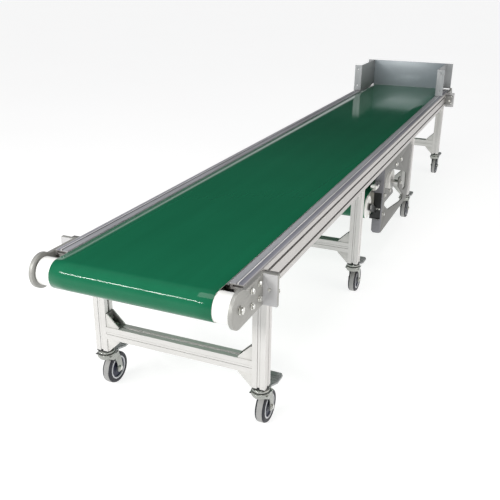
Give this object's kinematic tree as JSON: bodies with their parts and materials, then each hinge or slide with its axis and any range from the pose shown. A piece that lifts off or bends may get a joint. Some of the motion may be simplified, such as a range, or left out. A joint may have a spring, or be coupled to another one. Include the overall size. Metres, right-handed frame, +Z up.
{
  "type": "belt conveyor section",
  "caption": "Long flat belt conveyor section on caster trestles, with a centre drive box below the frame and a sheet end stop at the far end.",
  "frame": {"origin": "on the floor below the middle of the conveyor", "axes": "+Y along the belt towards the end stop, +X to the side away from the terminal box, +Z up"},
  "size_m": [0.648, 3.456, 0.674],
  "materials": {
    "rail_aluminium": "anodised, fine extrusion lines",
    "bed_sheet": "zinc-plated sheet",
    "belt_pvc": "glossy green belt with a white underside",
    "roller_white": "smooth white coating",
    "bearing_grey": "pressed housing",
    "axle_steel": "turned",
    "end_plate_grey": "sand-cast, matt",
    "bolt_steel": "zinc-plated",
    "anchor_black": "satin black",
    "post_aluminium": "anodised, near white",
    "gusset_cast": "sand-cast, matt",
    "caster_steel": "zinc-plated, satin",
    "wheel_rubber": "grey tread on a dark hub",
    "pedal_steel": "stamped, dull",
    "drive_plate_grey": "satin grey paint",
    "drum_rubber": "lagged, matt",
    "roller_steel": "turned tube",
    "lead_black": "matt sheath",
    "box_plastic": "fine grain",
    "stop_sheet": "satin grey paint"
  },
  "bodies": {
    "frame": {"side_rail_left": "rail_aluminium", "side_rail_right": "rail_aluminium", "slider_bed": "bed_sheet", "bed_crossbars": "post_aluminium", "belt": "belt_pvc", "end_roller_axles": "axle_steel", "end_plate_near_left": "end_plate_grey", "end_plate_near_right": "end_plate_grey", "end_plate_far_left": "end_plate_grey", "end_plate_far_right": "end_plate_grey", "end_plate_bolts": "bolt_steel", "take_up_screws": "bolt_steel", "take_up_anchors": "end_plate_grey", "legs": "post_aluminium", "crossbars": "post_aluminium", "gussets": "gusset_cast", "frame_screws": "bolt_steel", "caster_tops": "caster_steel", "drive_plate_left": "drive_plate_grey", "drive_plate_right": "drive_plate_grey", "drum_shaft": "axle_steel", "motor_lead": "lead_black", "bend_roller_axles": "axle_steel", "take_up_arms": "anchor_black", "drive_bolts": "bolt_steel", "terminal_box": "box_plastic", "end_stop_panel": "stop_sheet", "end_stop_wings": "stop_sheet"},
    "near_roller": {"near_roller": "roller_white", "near_roller_bearings": "bearing_grey"},
    "far_roller": {"far_roller": "roller_white", "far_roller_bearings": "bearing_grey"},
    "drum": {"drum_shell": "drum_rubber"},
    "snub_front": {"snub_roller_front": "roller_steel"},
    "snub_rear": {"snub_roller_rear": "roller_steel"},
    "take_up": {"take_up_roller": "roller_white"},
    "fork_left_1": {"caster_fork_left_1": "caster_steel"},
    "wheel_left_1": {"caster_wheel_left_1": "wheel_rubber"},
    "fork_left_2": {"caster_fork_left_2": "caster_steel"},
    "wheel_left_2": {"caster_wheel_left_2": "wheel_rubber"},
    "fork_left_3": {"caster_fork_left_3": "caster_steel"},
    "wheel_left_3": {"caster_wheel_left_3": "wheel_rubber"},
    "fork_left_4": {"caster_fork_left_4": "caster_steel"},
    "wheel_left_4": {"caster_wheel_left_4": "wheel_rubber"},
    "fork_right_1": {"caster_fork_right_1": "caster_steel"},
    "wheel_right_1": {"caster_wheel_right_1": "wheel_rubber"},
    "fork_right_2": {"caster_fork_right_2": "caster_steel"},
    "wheel_right_2": {"caster_wheel_right_2": "wheel_rubber"},
    "fork_right_3": {"caster_fork_right_3": "caster_steel"},
    "wheel_right_3": {"caster_wheel_right_3": "wheel_rubber"},
    "fork_right_4": {"caster_fork_right_4": "caster_steel"},
    "wheel_right_4": {"caster_wheel_right_4": "wheel_rubber"},
    "pedal_left_1": {"brake_pedal_left_1": "pedal_steel"},
    "pedal_left_2": {"brake_pedal_left_2": "pedal_steel"},
    "pedal_left_3": {"brake_pedal_left_3": "pedal_steel"},
    "pedal_left_4": {"brake_pedal_left_4": "pedal_steel"},
    "pedal_right_1": {"brake_pedal_right_1": "pedal_steel"},
    "pedal_right_2": {"brake_pedal_right_2": "pedal_steel"},
    "pedal_right_3": {"brake_pedal_right_3": "pedal_steel"},
    "pedal_right_4": {"brake_pedal_right_4": "pedal_steel"}
  },
  "joints": [
    {"name": "drum_spin", "type": "hinge", "parent": "frame", "child": "drum", "pos_m": [0, 0.235, 0.275], "axis": [1, 0, 0], "continuous": true},
    {"name": "near_roller_spin", "type": "hinge", "parent": "frame", "child": "near_roller", "pos_m": [0, -1.68, 0.4757], "axis": [1, 0, 0], "continuous": true},
    {"name": "far_roller_spin", "type": "hinge", "parent": "frame", "child": "far_roller", "pos_m": [0, 1.68, 0.4757], "axis": [1, 0, 0], "continuous": true},
    {"name": "snub_front_spin", "type": "hinge", "parent": "frame", "child": "snub_front", "pos_m": [0, 0.103, 0.3951], "axis": [1, 0, 0], "continuous": true},
    {"name": "snub_rear_spin", "type": "hinge", "parent": "frame", "child": "snub_rear", "pos_m": [0, 0.201, 0.3951], "axis": [1, 0, 0], "continuous": true},
    {"name": "take_up_spin", "type": "hinge", "parent": "frame", "child": "take_up", "pos_m": [0, -0.233, 0.285], "axis": [1, 0, 0], "continuous": true},
    {"name": "caster_swivel_left_1", "type": "hinge", "parent": "frame", "child": "fork_left_1", "pos_m": [-0.255, -1.468, 0.12], "axis": [0, 0, 1], "continuous": true},
    {"name": "wheel_spin_left_1", "type": "hinge", "parent": "fork_left_1", "child": "wheel_left_1", "pos_m": [-0.255, -1.43, 0.05], "axis": [1, 0, 0], "continuous": true},
    {"name": "caster_swivel_left_2", "type": "hinge", "parent": "frame", "child": "fork_left_2", "pos_m": [-0.255, -0.504, 0.12], "axis": [0, 0, 1], "continuous": true},
    {"name": "wheel_spin_left_2", "type": "hinge", "parent": "fork_left_2", "child": "wheel_left_2", "pos_m": [-0.255, -0.466, 0.05], "axis": [1, 0, 0], "continuous": true},
    {"name": "caster_swivel_left_3", "type": "hinge", "parent": "frame", "child": "fork_left_3", "pos_m": [-0.255, 0.504, 0.12], "axis": [0, 0, 1], "continuous": true},
    {"name": "wheel_spin_left_3", "type": "hinge", "parent": "fork_left_3", "child": "wheel_left_3", "pos_m": [-0.255, 0.542, 0.05], "axis": [1, 0, 0], "continuous": true},
    {"name": "caster_swivel_left_4", "type": "hinge", "parent": "frame", "child": "fork_left_4", "pos_m": [-0.255, 1.468, 0.12], "axis": [0, 0, 1], "continuous": true},
    {"name": "wheel_spin_left_4", "type": "hinge", "parent": "fork_left_4", "child": "wheel_left_4", "pos_m": [-0.255, 1.506, 0.05], "axis": [1, 0, 0], "continuous": true},
    {"name": "caster_swivel_right_1", "type": "hinge", "parent": "frame", "child": "fork_right_1", "pos_m": [0.255, -1.468, 0.12], "axis": [0, 0, 1], "continuous": true},
    {"name": "wheel_spin_right_1", "type": "hinge", "parent": "fork_right_1", "child": "wheel_right_1", "pos_m": [0.255, -1.43, 0.05], "axis": [1, 0, 0], "continuous": true},
    {"name": "caster_swivel_right_2", "type": "hinge", "parent": "frame", "child": "fork_right_2", "pos_m": [0.255, -0.504, 0.12], "axis": [0, 0, 1], "continuous": true},
    {"name": "wheel_spin_right_2", "type": "hinge", "parent": "fork_right_2", "child": "wheel_right_2", "pos_m": [0.255, -0.466, 0.05], "axis": [1, 0, 0], "continuous": true},
    {"name": "caster_swivel_right_3", "type": "hinge", "parent": "frame", "child": "fork_right_3", "pos_m": [0.255, 0.504, 0.12], "axis": [0, 0, 1], "continuous": true},
    {"name": "wheel_spin_right_3", "type": "hinge", "parent": "fork_right_3", "child": "wheel_right_3", "pos_m": [0.255, 0.542, 0.05], "axis": [1, 0, 0], "continuous": true},
    {"name": "caster_swivel_right_4", "type": "hinge", "parent": "frame", "child": "fork_right_4", "pos_m": [0.255, 1.468, 0.12], "axis": [0, 0, 1], "continuous": true},
    {"name": "wheel_spin_right_4", "type": "hinge", "parent": "fork_right_4", "child": "wheel_right_4", "pos_m": [0.255, 1.506, 0.05], "axis": [1, 0, 0], "continuous": true},
    {"name": "brake_pedal_hinge_left_1", "type": "hinge", "parent": "fork_left_1", "child": "pedal_left_1", "pos_m": [-0.255, -1.434, 0.1107], "axis": [-1, 0, 0], "range_deg": [0, 25]},
    {"name": "brake_pedal_hinge_left_2", "type": "hinge", "parent": "fork_left_2", "child": "pedal_left_2", "pos_m": [-0.255, -0.47, 0.1107], "axis": [-1, 0, 0], "range_deg": [0, 25]},
    {"name": "brake_pedal_hinge_left_3", "type": "hinge", "parent": "fork_left_3", "child": "pedal_left_3", "pos_m": [-0.255, 0.538, 0.1107], "axis": [-1, 0, 0], "range_deg": [0, 25]},
    {"name": "brake_pedal_hinge_left_4", "type": "hinge", "parent": "fork_left_4", "child": "pedal_left_4", "pos_m": [-0.255, 1.502, 0.1107], "axis": [-1, 0, 0], "range_deg": [0, 25]},
    {"name": "brake_pedal_hinge_right_1", "type": "hinge", "parent": "fork_right_1", "child": "pedal_right_1", "pos_m": [0.255, -1.434, 0.1107], "axis": [-1, 0, 0], "range_deg": [0, 25]},
    {"name": "brake_pedal_hinge_right_2", "type": "hinge", "parent": "fork_right_2", "child": "pedal_right_2", "pos_m": [0.255, -0.47, 0.1107], "axis": [-1, 0, 0], "range_deg": [0, 25]},
    {"name": "brake_pedal_hinge_right_3", "type": "hinge", "parent": "fork_right_3", "child": "pedal_right_3", "pos_m": [0.255, 0.538, 0.1107], "axis": [-1, 0, 0], "range_deg": [0, 25]},
    {"name": "brake_pedal_hinge_right_4", "type": "hinge", "parent": "fork_right_4", "child": "pedal_right_4", "pos_m": [0.255, 1.502, 0.1107], "axis": [-1, 0, 0], "range_deg": [0, 25]}
  ],
  "couplings": [
    {"joint": "near_roller_spin", "follows": "drum_spin", "ratio": 1.5598},
    {"joint": "far_roller_spin", "follows": "drum_spin", "ratio": 1.5598},
    {"joint": "snub_front_spin", "follows": "drum_spin", "ratio": -1.4843},
    {"joint": "snub_rear_spin", "follows": "drum_spin", "ratio": -1.4843},
    {"joint": "take_up_spin", "follows": "drum_spin", "ratio": 1.2434}
  ]
}
